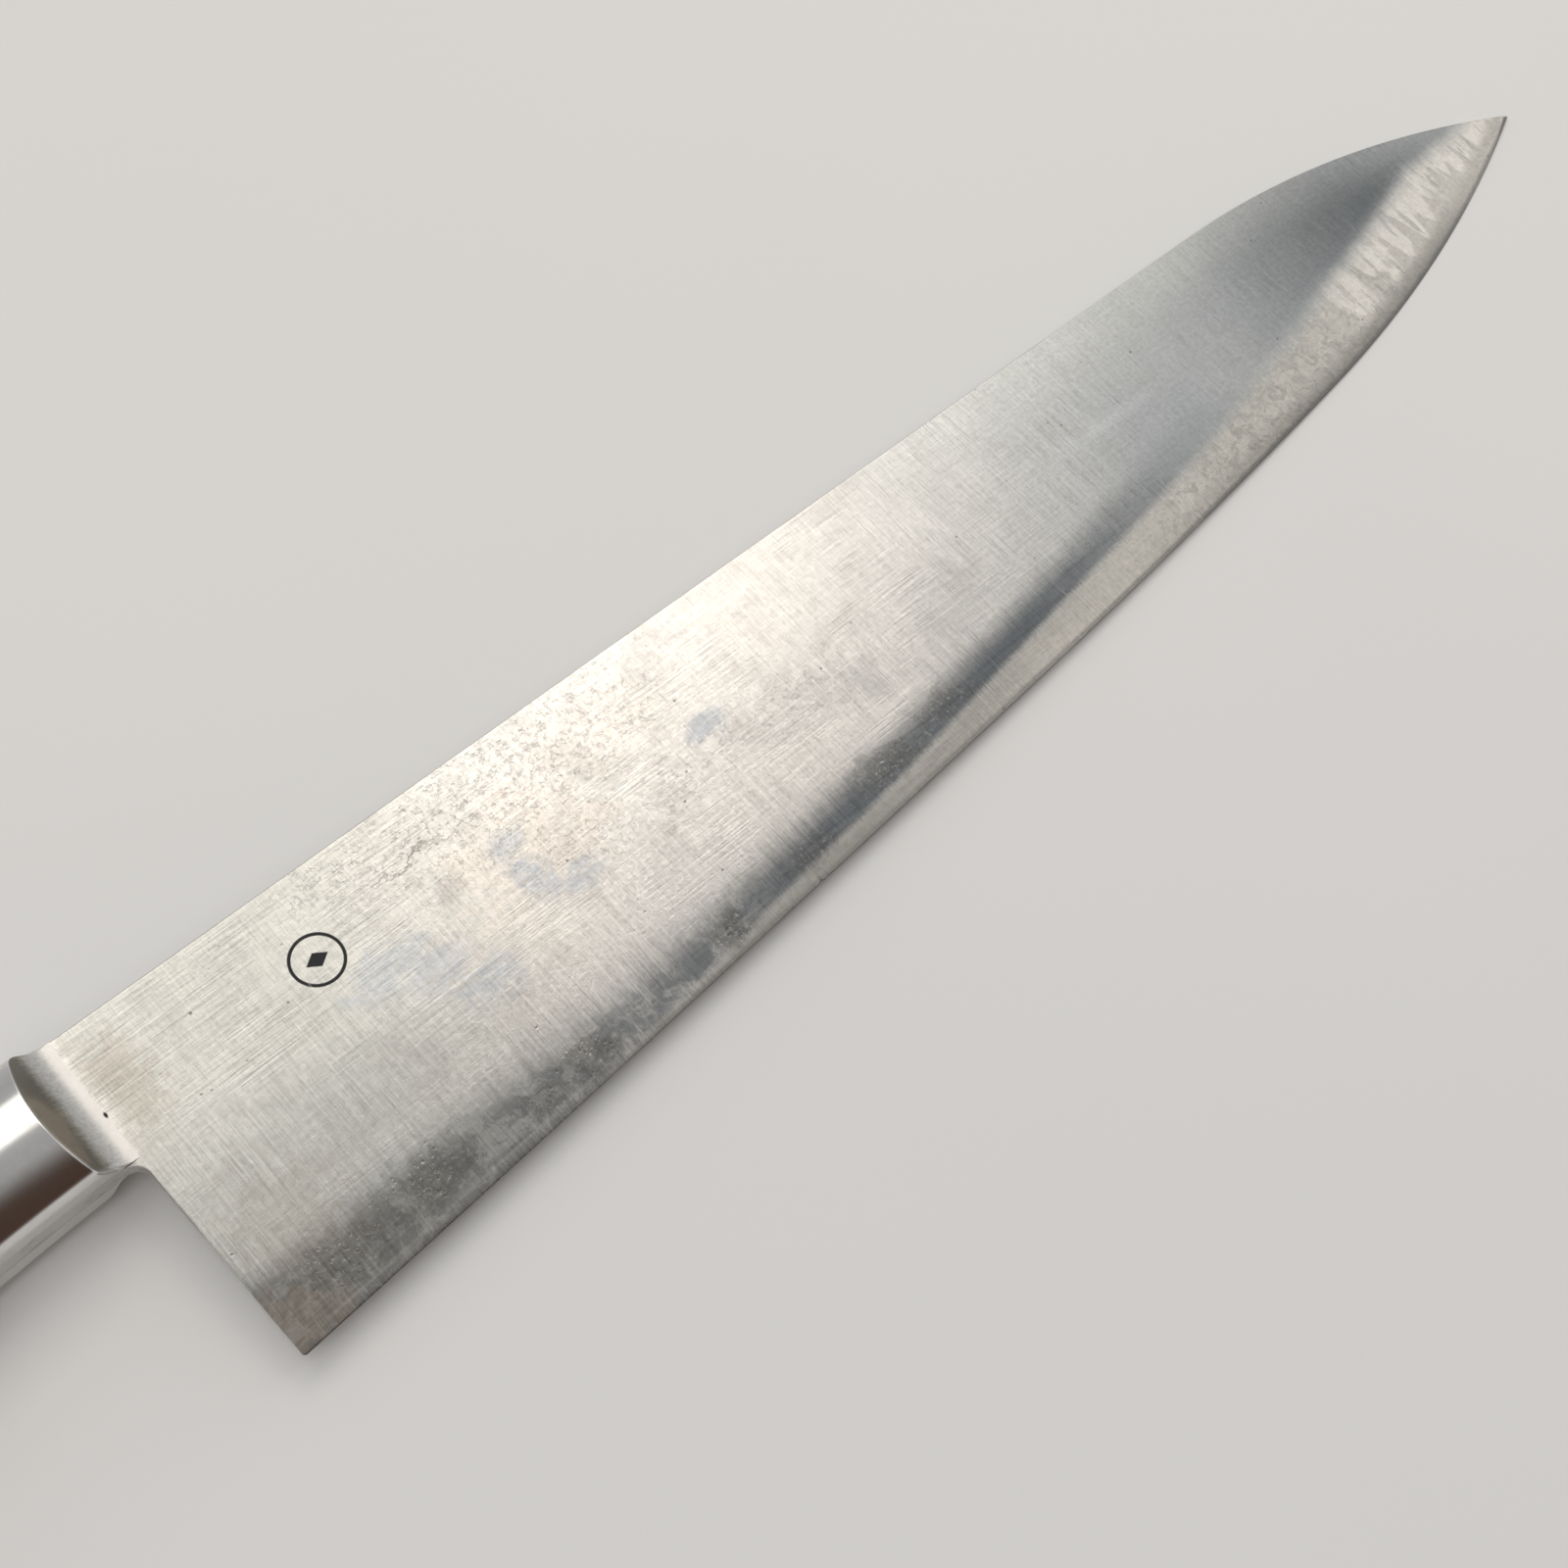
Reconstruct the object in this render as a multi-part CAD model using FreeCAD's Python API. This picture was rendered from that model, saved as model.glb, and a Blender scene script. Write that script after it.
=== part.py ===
import FreeCAD, Part
import math
import os

# A western-handled chef knife with a full tang, riveted scales and soldered bolster cheeks.
# Millimetres. Each piece is modelled in the knife's own axes: x from the heel towards the tip,
# y towards the spine, whose straight part is y = 0, and z the thickness, with z = 0 in the middle
# of the blade. lay_down() then moves it into the part's frame, where the knife lies at rest on z = 0.

Vector = FreeCAD.Vector
X_AXIS = Vector(1, 0, 0)
Y_AXIS = Vector(0, 1, 0)
Z_AXIS = Vector(0, 0, 1)

# Blade, side view
tip_x = 268.9
tip_y = -15.0
spine_straight_end = 205.5
heel_y = -48.7
edge_breaks = [(0.0, 3.2), (139.6, 4.4), (204.5, 7.1), (tip_x, 24.1)]   # x, slope in degrees
heel_line_top_x = 0.5
heel_line_foot_x = 1.0
choil_radius = 2.4

# Blade, cross-section
spine_thickness_heel = 2.8
spine_thickness_tip = 0.7
distal_taper_power = 1.3
bevel_share = 0.27            # of the local height, from the edge up
shoulder_share = 0.62         # of the spine's thickness
bevel_belly_height = 0.35     # where the bevel bulges, as a share of its width
bevel_belly_share = 0.46      # share of the bevel's thickness that is reached there
edge_land = 0.2               # thickness of the ground edge
section_count = 20
tip_margin = 0.35             # the last section stands this far behind the tip
blade_root_x = -3.0           # the blade's sections start here, inside the neck

# Handle: one row for each station, from the flare's foot back to the butt
# x, top, bottom, half thickness in the middle, half width of the flat along the spine and belly
handle_stations = [
    (3.0, 0.0, -18.2, 7.3, 4.9),
    (-5.4, 0.0, -18.3, 7.6, 5.0),
    (-21.0, 0.1, -19.0, 8.2, 5.2),
    (-43.0, 0.4, -21.1, 9.0, 5.6),
    (-66.0, 0.4, -23.2, 9.5, 5.9),
    (-90.0, -0.3, -22.9, 9.6, 5.9),
    (-111.0, -1.8, -24.2, 9.7, 6.0),
    (-131.0, -4.8, -28.2, 9.9, 6.2),
]
corner_radius = 2.2
butt_rounding = 2.5
tang_thickness = 2.8
bolster_joint_x = -21.0

# Flare of the bolster, from its foot on the blade up to the rim: x, height above the mid-plane
flare_points = [(0.0, 1.5), (-1.6, 1.9), (-3.1, 3.6), (-4.4, 5.7), (-5.5, 7.4), (-7.6, 10.6)]

# Cutler's rivets
rivet_places = [("front", -39.0), ("middle", -77.0), ("rear", -115.0)]
head_radius = 3.9
head_depth = 2.6
socket_radius = 2.5
pin_radius = 1.6
scale_hole_radius = 2.6
tang_hole_radius = 2.8
head_seat_clearance = 0.03
head_web = 1.5                # metal left above the socket's bore
shank_gap = 0.3               # the shanks stop this short, so that the heads draw down tight

# Planes well clear of the metal and wood, for cutting
outside_z = 15.0
outside_y = 60.0
behind_heel_x = -8.0
behind_butt_x = -140.0

# Resting attitude: on its left side, touching at the left scale, at the edge near the tip, and at the tip
rest_pitch = 1.53             # degrees, tip down
rest_roll = 5.4               # degrees, edge down


def arc_rise(x_from, x_to, slope_from, slope_to, x):
    """Rise from x_from to x along an arc whose slope turns from slope_from to slope_to."""
    radius = (x_to - x_from) / (math.sin(slope_to) - math.sin(slope_from))
    slope_at_x = math.asin(math.sin(slope_from) + (x - x_from) / radius)
    return radius * (math.cos(slope_from) - math.cos(slope_at_x))


def edge_y(x):
    """The cutting edge: tangent arcs from the heel to the tip, ending at tip_y."""
    rise = 0.0
    total = 0.0
    for (x_from, deg_from), (x_to, deg_to) in zip(edge_breaks, edge_breaks[1:]):
        slopes = (math.radians(deg_from), math.radians(deg_to))
        total += arc_rise(x_from, x_to, *slopes, x_to)
        if x > x_from:
            rise += arc_rise(x_from, x_to, *slopes, min(x, x_to))
    if x < 0:
        rise = x * math.tan(math.radians(edge_breaks[0][1]))
    return heel_y + rise * (tip_y - heel_y) / total


def spine_y(x):
    """The spine: straight, then one arc tangent to it that drops to the tip."""
    if x <= spine_straight_end:
        return 0.0
    run = tip_x - spine_straight_end
    radius = (run ** 2 + tip_y ** 2) / (-2 * tip_y)
    return math.sqrt(radius ** 2 - (x - spine_straight_end) ** 2) - radius


def spine_thickness(x):
    share = max(x, 0.0) / tip_x
    return spine_thickness_heel - (spine_thickness_heel - spine_thickness_tip) * share ** distal_taper_power


def blade_section(x):
    top = spine_y(x)
    bottom = edge_y(x)
    bevel = bevel_share * (top - bottom)
    thickness = spine_thickness(x)
    shoulder_z = shoulder_share * thickness / 2
    edge_z = edge_land / 2
    right_side = [
        (top, thickness / 2),
        (bottom + bevel, shoulder_z),
        (bottom + bevel_belly_height * bevel, edge_z + bevel_belly_share * (shoulder_z - edge_z)),
        (bottom, edge_z),
    ]
    left_side = [(y, -z) for y, z in reversed(right_side)]
    points = [Vector(x, y, z) for y, z in right_side + left_side]
    return Part.makePolygon(points + points[:1])


def heel_cutter():
    """What is cut away behind the heel: a straight heel with a filleted choil under the neck."""
    choil_back_x = heel_line_top_x - choil_radius
    neck_y = handle_at(choil_back_x)[1]
    choil_back = Vector(choil_back_x, neck_y, 0)
    choil_top = Vector(heel_line_top_x, neck_y - choil_radius, 0)
    centre = Vector(choil_back.x, choil_top.y, 0)
    choil_middle = centre + Vector(1, 1, 0).normalize() * choil_radius
    heel_foot = Vector(heel_line_foot_x, -outside_y, 0)
    behind_foot = Vector(behind_heel_x, -outside_y, 0)
    behind_top = Vector(behind_heel_x, neck_y, 0)
    outline = Part.Wire([
        Part.Arc(choil_back, choil_middle, choil_top).toShape(),
        Part.LineSegment(choil_top, heel_foot).toShape(),
        Part.LineSegment(heel_foot, behind_foot).toShape(),
        Part.LineSegment(behind_foot, behind_top).toShape(),
        Part.LineSegment(behind_top, choil_back).toShape(),
    ])
    outline.translate(Vector(0, 0, -outside_z))
    return Part.Face(outline).extrude(Vector(0, 0, 2 * outside_z))


def handle_section(station):
    """Crowned sides, flat spine and belly, and a rounded corner between each flat and each side."""
    x, top, bottom, half_thickness, flat_half_width = station
    middle = (top + bottom) / 2
    b = (top - bottom) / 2
    # The side is a circle through the middle of the side and the ends of the flats; the corner is a
    # circle that touches it and the flat
    rise = half_thickness - flat_half_width
    crown_radius = (b ** 2 + rise ** 2) / (2 * rise)
    crown_z = half_thickness - crown_radius
    corner_y = b - corner_radius
    corner_z = crown_z + math.sqrt((crown_radius - corner_radius) ** 2 - corner_y ** 2)
    reach = crown_radius / (crown_radius - corner_radius)
    touch_y = corner_y * reach
    touch_z = crown_z + (corner_z - crown_z) * reach
    outward = Vector(0, corner_radius + touch_y - corner_y, touch_z - corner_z).normalize()
    corner_mid_y = corner_y + outward.y * corner_radius
    corner_mid_z = corner_z + outward.z * corner_radius

    def at(y, z):
        return Vector(x, middle + y, z)

    def line(p, q):
        return Part.LineSegment(p, q).toShape()

    def arc(p, q, r):
        return Part.Arc(p, q, r).toShape()

    edges = [
        line(at(b, -corner_z), at(b, corner_z)),
        arc(at(b, corner_z), at(corner_mid_y, corner_mid_z), at(touch_y, touch_z)),
        arc(at(touch_y, touch_z), at(0, half_thickness), at(-touch_y, touch_z)),
        arc(at(-touch_y, touch_z), at(-corner_mid_y, corner_mid_z), at(-b, corner_z)),
        line(at(-b, corner_z), at(-b, -corner_z)),
        arc(at(-b, -corner_z), at(-corner_mid_y, -corner_mid_z), at(-touch_y, -touch_z)),
        arc(at(-touch_y, -touch_z), at(0, -half_thickness), at(touch_y, -touch_z)),
        arc(at(touch_y, -touch_z), at(corner_mid_y, -corner_mid_z), at(b, -corner_z)),
    ]
    return Part.Wire(edges)


def handle_envelope():
    """The whole grip as one body: tang, scales and bolster are all cut from it, so they are flush."""
    body = Part.makeLoft([handle_section(station) for station in handle_stations], True, False)
    near_butt_x = handle_stations[-1][0] + butt_rounding / 2
    butt_edges = [edge for edge in body.Edges if edge.BoundBox.XMax < near_butt_x]
    return body.makeFillet(butt_rounding, butt_edges)


def block(x_from, x_to, z_from, z_to):
    corner = Vector(x_from, -outside_y, z_from)
    return Part.makeBox(x_to - x_from, 2 * outside_y, z_to - z_from, corner)


def handle_at(x):
    """Top, bottom, half thickness and flat half width of the handle between two stations."""
    for near, far in zip(handle_stations, handle_stations[1:]):
        if far[0] <= x <= near[0]:
            share = (near[0] - x) / (near[0] - far[0])
            return [a + share * (b - a) for a, b in zip(near[1:], far[1:])]
    raise ValueError("x is outside the handle")


def cross_hole(x, radius, z_from, z_to):
    """A cylinder through the handle's thickness, halfway between its top and bottom."""
    top, bottom = handle_at(x)[:2]
    foot = Vector(x, (top + bottom) / 2, z_from)
    return Part.makeCylinder(radius, z_to - z_from, foot, Z_AXIS)


def head_seat_z(x):
    """Height of the step that a rivet head is drawn down on to."""
    return handle_at(x)[2] - head_depth


def make_blade(envelope):
    """Blade and full tang in one forging."""
    length = tip_x - tip_margin - blade_root_x
    quarter_turns = [math.pi / 2 * i / (section_count - 1) for i in range(section_count)]
    sections = [blade_section(blade_root_x + length * math.sin(angle)) for angle in quarter_turns]
    blade = Part.makeLoft(sections, True, False).cut(heel_cutter())
    tang = envelope.common(block(behind_butt_x, flare_points[0][0], -tang_thickness / 2, tang_thickness / 2))
    forging = blade.fuse(tang).removeSplitter()
    for name, x in rivet_places:
        forging = forging.cut(cross_hole(x, tang_hole_radius, -outside_z, outside_z))
    return forging


def make_right_bolster(envelope):
    """One cheek, soldered to the tang, with a concave flare down to the blade."""
    foot_x, foot_z = flare_points[0]
    seat = tang_thickness / 2
    curve = Part.BSplineCurve()
    curve.interpolate([Vector(x, 0, z) for x, z in flare_points])
    rim_x, rim_z = flare_points[-1]
    corners = [
        Vector(rim_x, 0, rim_z),
        Vector(rim_x, 0, outside_z),
        Vector(bolster_joint_x, 0, outside_z),
        Vector(bolster_joint_x, 0, seat),
        Vector(foot_x, 0, seat),
        Vector(foot_x, 0, foot_z),
    ]
    edges = [curve.toShape()]
    edges += [Part.LineSegment(p, q).toShape() for p, q in zip(corners, corners[1:])]
    outline = Part.Wire(Part.__sortEdges__(edges))
    outline.translate(Vector(0, -outside_y, 0))
    keep = Part.Face(outline).extrude(Vector(0, 2 * outside_y, 0))
    return envelope.common(keep)


def make_right_scale(envelope):
    """One handle half, with a stepped hole for each rivet."""
    scale = envelope.common(block(behind_butt_x, bolster_joint_x, tang_thickness / 2, outside_z))
    for name, x in rivet_places:
        scale = scale.cut(cross_hole(x, scale_hole_radius, 0, outside_z))
        scale = scale.cut(cross_hole(x, head_radius + head_seat_clearance, head_seat_z(x), outside_z))
    return scale


def mirrored(shape):
    """The left-hand twin of a right-hand piece."""
    return shape.mirror(Vector(0, 0, 0), Z_AXIS)


def make_rivet_socket(envelope, x):
    """Right-hand half: a head ground flush with the scale, and a tubular shank."""
    seat = head_seat_z(x)
    head = cross_hole(x, head_radius, seat, outside_z).common(envelope)
    shank = cross_hole(x, socket_radius, -seat + shank_gap, seat + head_web / 2)
    bore = cross_hole(x, pin_radius, -outside_z, seat - head_web)
    return head.fuse(shank).cut(bore).removeSplitter()


def make_rivet_pin(envelope, x):
    """Left-hand half: a head ground flush with the scale, and the pin that is pressed into the socket."""
    seat = head_seat_z(x)
    head = cross_hole(x, head_radius, -outside_z, -seat).common(envelope)
    pin = cross_hole(x, pin_radius, -seat - head_web / 2, seat - head_web - shank_gap)
    return head.fuse(pin).removeSplitter()


def lay_down(shape, shift):
    """Turns a piece from the knife's axes to its resting attitude, then moves the origin."""
    origin = Vector(0, 0, 0)
    shape.rotate(origin, X_AXIS, rest_roll)
    shape.rotate(origin, Y_AXIS, rest_pitch)
    shape.translate(shift)
    return shape


def make_pieces():
    envelope = handle_envelope()
    right_bolster = make_right_bolster(envelope)
    right_scale = make_right_scale(envelope)
    pieces = {
        "blade": make_blade(envelope),
        "right_bolster": right_bolster,
        "left_bolster": mirrored(right_bolster),
        "right_scale": right_scale,
        "left_scale": mirrored(right_scale),
    }
    for name, x in rivet_places:
        pieces[name + "_rivet_socket"] = make_rivet_socket(envelope, x)
        pieces[name + "_rivet_pin"] = make_rivet_pin(envelope, x)
    return pieces


def main():
    os.makedirs("parts", exist_ok=True)
    pieces = {name: lay_down(shape, Vector(0, 0, 0)) for name, shape in make_pieces().items()}
    whole = Part.makeCompound(list(pieces.values()))
    box = whole.optimalBoundingBox(False)
    shift = Vector(-(box.XMin + box.XMax) / 2, -(box.YMin + box.YMax) / 2, -box.ZMin)
    for name, shape in pieces.items():
        shape.translate(shift)
        shape.exportStep(os.path.join("parts", name + ".step"))
        print(name, "solids", len(shape.Solids), "valid", shape.isValid(), "volume", round(shape.Volume, 1))
    print("origin of the knife's axes is moved by", [round(v, 3) for v in shift])


main()
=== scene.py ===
import math

import bpy
import bmesh
import numpy as np
from mathutils import Euler, Matrix, Vector


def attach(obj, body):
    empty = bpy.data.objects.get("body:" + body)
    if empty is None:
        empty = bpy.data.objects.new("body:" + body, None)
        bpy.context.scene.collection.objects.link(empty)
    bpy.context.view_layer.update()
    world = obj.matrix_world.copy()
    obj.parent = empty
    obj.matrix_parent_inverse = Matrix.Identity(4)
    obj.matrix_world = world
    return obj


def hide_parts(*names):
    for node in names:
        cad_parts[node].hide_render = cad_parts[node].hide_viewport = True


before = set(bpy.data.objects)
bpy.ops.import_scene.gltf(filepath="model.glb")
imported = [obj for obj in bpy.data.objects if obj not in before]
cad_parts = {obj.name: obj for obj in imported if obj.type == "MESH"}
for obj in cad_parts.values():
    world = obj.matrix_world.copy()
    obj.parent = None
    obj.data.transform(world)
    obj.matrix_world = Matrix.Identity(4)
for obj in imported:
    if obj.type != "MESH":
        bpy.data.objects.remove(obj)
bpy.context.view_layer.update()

# The knife is modelled in its own axes, in millimetres: x from the bolster's foot to the tip, y towards
# the spine, whose straight part is y = 0, and z through the thickness. The frame holds it at rest on
# its left side, so each mesh is turned by these two angles and moved to where the CAD pieces are.
MM = 0.001
REST_ROLL = math.radians(5.4)
REST_PITCH = math.radians(1.53)
REST = np.array(Euler((REST_ROLL, REST_PITCH, 0)).to_matrix())

# Blade, side view
TIP_X, TIP_Y = 268.9, -15.0
SPINE_STRAIGHT_END = 205.5
HEEL_Y = -48.7
EDGE_BREAKS = [(0.0, 3.2), (139.6, 4.4), (204.5, 7.1), (TIP_X, 24.1)]   # x, slope in degrees
HEEL_LINE_TOP_X, HEEL_LINE_FOOT_X = 0.5, 1.0
CHOIL_RADIUS = 2.4
NICK_X, NICK_DEPTH, NICK_HALF_WIDTH = 86.5, 0.30, 0.45

# Blade, cross-section
SPINE_THICKNESS_HEEL, SPINE_THICKNESS_TIP, TAPER_POWER = 2.8, 0.7, 1.3
BEVEL_SHARE = 0.27          # of the local height
SHOULDER_SHARE = 0.62       # of the spine's thickness
FLANK_BULGE = 0.05          # how far the flank swells halfway down, at the heel
EDGE_HALF_LAND = 0.06
MICRO_BEVEL = 0.45          # width of the ground edge
MICRO_BEVEL_SLOPE = 0.34
SPINE_EASE = 0.22           # rounding of the spine's corners
HEEL_EASE = 0.15
HEEL_CORNER = 0.5           # rounding of the heel's point

# Where the polished band above the bevel, painted dark as shade, begins and ends: x, mm above the edge
BAND_TOP = [(0, 10.0), (25, 8.0), (60, 6.2), (90, 6.8), (120, 8.3), (150, 10.6), (180, 12.8), (270, 15.0)]
BAND_FOOT = [(0, -2.5), (50, 0.4), (80, 2.1), (105, 3.0), (140, 5.4), (180, 7.6), (215, 11.0), (245, 11.0),
             (270, 4.0)]

# Handle stations: x, top, bottom, half thickness in the middle, half width of the spine's flat
STATIONS = np.array([
    (3, 0, -18.2, 7.3, 4.9),
    (-5.4, 0, -18.3, 7.6, 5),
    (-21, 0.1, -19, 8.2, 5.2),
    (-43, 0.4, -21.1, 9, 5.6),
    (-66, 0.4, -23.2, 9.5, 5.9),
    (-90, -0.3, -22.9, 9.6, 5.9),
    (-111, -1.8, -24.2, 9.7, 6),
    (-131, -4.8, -28.2, 9.9, 6.2),
])
CORNER_RADIUS = 2.2
BUTT_X, BUTT_ROUNDING = -131.0, 2.5
TANG_HALF = 1.4
TANG_FRONT_X = -1.5         # the strip ends inside the blade's root
BOLSTER_JOINT_X = -21.0
# The flare of the bolster: x, height above the blade's flank, into which it fades
FLARE = np.array([(-7.6, 9.2), (-5.5, 6.1), (-4.4, 4.35), (-3.1, 2.3), (-1.8, 0.90), (-0.5, 0.26),
                  (0.8, -0.02)])
RIM_SOFTNESS = 0.5          # rounding of the rim between the cheek's side and the flare
FLARE_EASE_BELLY, FLARE_EASE_BACK = 1.1, 0.25      # rounding where the flare meets the belly and the back
SEAM = 0.06                 # chamfer along every joint between two pieces
WALL_STEPS, CORNER_STEPS, CROWN_STEPS, CHEEK_CROWN_STEPS = 6, 9, 34, 60     # points along a section

# The two sides of the handle, and which way z runs on each
SIDES = (("right", 1), ("left", -1))

# Cutler's rivets
RIVETS = [("front", -39.0), ("middle", -77.0), ("rear", -115.0)]
HEAD_RADIUS, HEAD_DEPTH, HEAD_GAP, HEAD_WEB = 3.9, 2.6, 0.03, 1.5
SOCKET_RADIUS, PIN_RADIUS, SCALE_HOLE_RADIUS = 2.5, 1.6, 2.6
SHANK_GAP = 0.3
PIN_CHAMFER = 0.2
AXIS_HOLE = 0.05            # radius left round the axis of a turned shape, closed by a flat face

# Depth of the bump of each kind of surface
STEEL_RELIEF, WOOD_RELIEF, PAPER_RELIEF = 0.012, 0.03, 0.05
GRAIN_SPAN = 300.0          # length that the blade's UV map covers

# Edges sharper than this many degrees are drawn sharp
SHARP, SHARP_BLADE = 32.0, 14.0


# -------- frame and mesh helpers

def in_knife_axes(node):
    """The CAD node's vertices, turned into the knife's axes, in metres."""
    return np.array([v.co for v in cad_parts[node].data.vertices]) @ REST


def knife_origin():
    """The knife's own origin, in its own axes: the bolster's foot, the spine's line and the middle plane."""
    foot_x = in_knife_axes("right_bolster")[:, 0].max()
    blade = in_knife_axes("blade")
    spine_y = blade[blade[:, 0] > foot_x + 10 * MM, 1].max()
    right, left = in_knife_axes("right_scale"), in_knife_axes("left_scale")
    return np.array([foot_x, spine_y, (right[:, 2].max() + left[:, 2].min()) / 2])


ORIGIN = knife_origin()


def to_frame(points):
    return (np.asarray(points, float) * MM + ORIGIN) @ REST.T


def add_object(name, data):
    made = bpy.data.objects.new(name, data)
    bpy.context.scene.collection.objects.link(made)
    return made


def add_solid(name, points, faces):
    """Makes an object from points in the knife's axes, with its faces turned outwards."""
    mesh = bpy.data.meshes.new(name)
    mesh.from_pydata(to_frame(points).tolist(), [], faces)
    work = bmesh.new()
    work.from_mesh(mesh)
    bmesh.ops.dissolve_degenerate(work, dist=1e-7, edges=work.edges)
    bmesh.ops.recalc_face_normals(work, faces=work.faces)
    work.to_mesh(mesh)
    work.free()
    return add_object(name, mesh)


def shade(piece, sharp):
    piece.data.shade_smooth()
    piece.data.set_sharp_from_angle(angle=math.radians(sharp))


def add_piece(name, points, faces, slot_name, node, materials, sharp=SHARP):
    """Makes one piece of the knife, gives it its materials and body, and hides the CAD node that it stands
    in for; slot_name is not used.
    """
    piece = add_solid(name, points, faces)
    shade(piece, sharp)
    for material in materials:
        piece.data.materials.append(material)
    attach(piece, "root")
    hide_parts(node)
    return piece


def tube(rings):
    """Point numbers and faces of an open tube through rings of points."""
    count, around = rings.shape[:2]
    index = np.arange(count * around).reshape(count, around)
    ahead = np.roll(index, -1, axis=1)
    faces = np.stack([index[:-1], index[1:], ahead[1:], ahead[:-1]], axis=-1).reshape(-1, 4).tolist()
    return index, faces


def shell(rings):
    """Points and faces of a closed tube through rings of points, with a face over each end."""
    index, faces = tube(rings)
    faces.append(index[0].tolist())
    faces.append(index[-1][::-1].tolist())
    return rings.reshape(-1, 3), faces


def mirrored(points):
    return points * (1, 1, -1)


def spaced(*spans):
    """Joined-up runs of evenly spaced values; each span is (from, to, step)."""
    runs = [np.arange(start, stop, step) for start, stop, step in spans]
    return np.concatenate(runs + [[spans[-1][1]]])


def ease(t):
    t = np.clip(t, 0, 1)
    return t * t * (3 - 2 * t)


# -------- the blade's shape

def arc_rise(x_from, x_to, slope_from, slope_to, x):
    radius = (x_to - x_from) / (math.sin(slope_to) - math.sin(slope_from))
    slope_at_x = np.arcsin(math.sin(slope_from) + (x - x_from) / radius)
    return radius * (math.cos(slope_from) - np.cos(slope_at_x))


def edge_y(x):
    """Tangent arcs from the heel to the tip, with one small nick."""
    rise, total = np.minimum(x, 0) * math.tan(math.radians(EDGE_BREAKS[0][1])), 0.0
    for (x_from, deg_from), (x_to, deg_to) in zip(EDGE_BREAKS, EDGE_BREAKS[1:]):
        slopes = (math.radians(deg_from), math.radians(deg_to))
        total += arc_rise(x_from, x_to, *slopes, x_to)
        rise = rise + arc_rise(x_from, x_to, *slopes, np.clip(x, x_from, x_to))
    nick = NICK_DEPTH * np.clip(1 - np.abs(x - NICK_X) / NICK_HALF_WIDTH, 0, 1)
    return HEEL_Y + rise * (TIP_Y - HEEL_Y) / total + nick


def spine_y(x):
    run = TIP_X - SPINE_STRAIGHT_END
    radius = (run ** 2 + TIP_Y ** 2) / (-2 * TIP_Y)
    return np.sqrt(radius ** 2 - np.clip(x - SPINE_STRAIGHT_END, 0, None) ** 2) - radius


def half_thickness(x, depth, height):
    """Half the blade's thickness at a depth below the spine: flank, convex bevel and ground edge."""
    share = np.clip(x, 0, None) / TIP_X
    spine = (SPINE_THICKNESS_HEEL - (SPINE_THICKNESS_HEEL - SPINE_THICKNESS_TIP) * share ** TAPER_POWER) / 2
    bevel = BEVEL_SHARE * height
    shoulder = SHOULDER_SHARE * spine
    down = np.clip(depth / (height - bevel), 0, 1)
    bulge = FLANK_BULGE * 4 * down * (1 - down) * spine / (SPINE_THICKNESS_HEEL / 2)
    flank = spine + (shoulder - spine) * down + bulge
    up = np.clip((height - depth) / bevel, 0, 1)
    end_slope = (spine - shoulder) * BEVEL_SHARE / (1 - BEVEL_SHARE)
    rise = shoulder - EDGE_HALF_LAND
    curve = EDGE_HALF_LAND + (2 * rise - end_slope) * up + (end_slope - rise) * up ** 2
    body = np.where(depth < height - bevel, flank, curve)
    ground = EDGE_HALF_LAND * 0.4 + (height - depth) * MICRO_BEVEL_SLOPE
    body = np.minimum(body, ground)
    corner = np.clip(SPINE_EASE - depth, 0, SPINE_EASE)
    return body - (SPINE_EASE - np.sqrt(SPINE_EASE ** 2 - corner ** 2))


def heel_boundary(y):
    """Where the blade begins at height y: inside the neck, then round the choil and down the heel."""
    neck_y = STATIONS[1, 2]
    centre_x, centre_y = HEEL_LINE_TOP_X - CHOIL_RADIUS, neck_y - CHOIL_RADIUS
    across = np.clip((y - centre_y) / CHOIL_RADIUS, 0, 1)
    arc = centre_x + CHOIL_RADIUS * np.sqrt(1 - across ** 2)
    down = np.clip((centre_y - y) / (centre_y - HEEL_Y), 0, 1)
    into_corner = np.clip(HEEL_Y + HEEL_CORNER - y, 0, HEEL_CORNER)
    cut = HEEL_CORNER - np.sqrt(HEEL_CORNER ** 2 - into_corner ** 2)
    return np.where(y > centre_y, arc, HEEL_LINE_TOP_X + (HEEL_LINE_FOOT_X - HEEL_LINE_TOP_X) * down + cut)


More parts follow.
